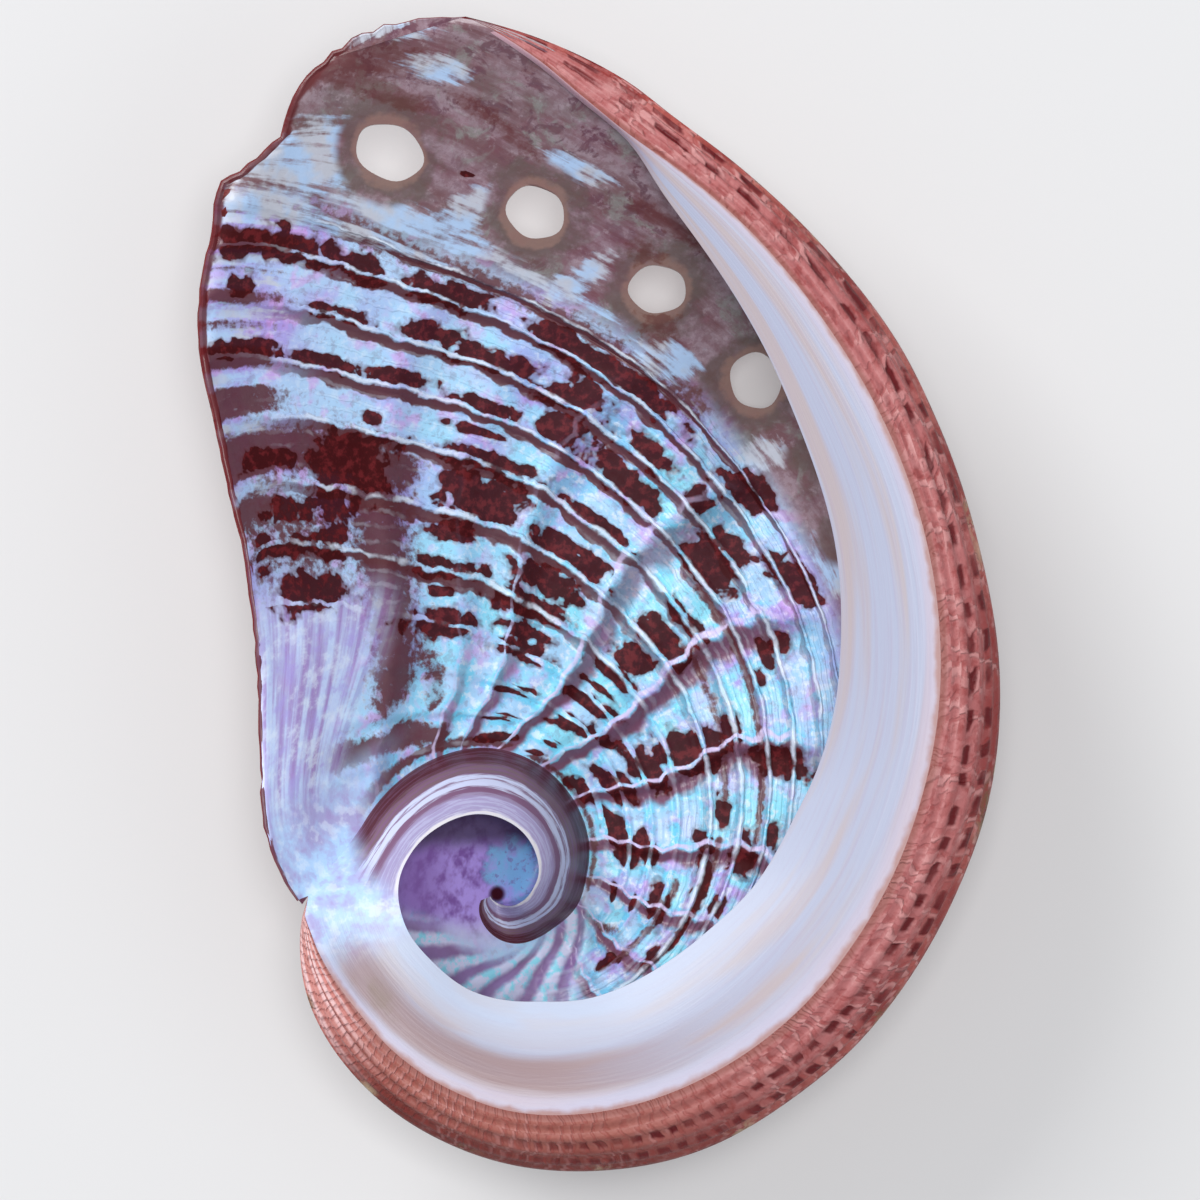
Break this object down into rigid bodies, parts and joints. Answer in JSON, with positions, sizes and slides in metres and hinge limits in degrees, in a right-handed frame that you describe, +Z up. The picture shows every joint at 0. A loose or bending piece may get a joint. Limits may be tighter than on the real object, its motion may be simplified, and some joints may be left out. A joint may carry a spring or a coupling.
{
  "type": "abalone shell",
  "caption": "Empty abalone shell lying on its back, with a nacre dish, a row of open holes, a broad pale shelf and a ribbed red outside.",
  "frame": {"origin": "bottom centre of the bounding box, on the surface that the shell's dome rests on", "axes": "+Z up, out of the open aperture; +Y along the shell's length toward the margin with the newest hole; +X toward the columellar side with the shelf"},
  "size_m": [0.0556, 0.0798, 0.0207],
  "materials": {
    "shell": "satin nacre inside, ribbed and dull red outside"
  },
  "bodies": {
    "root": {"shell": "shell"}
  },
  "joints": []
}
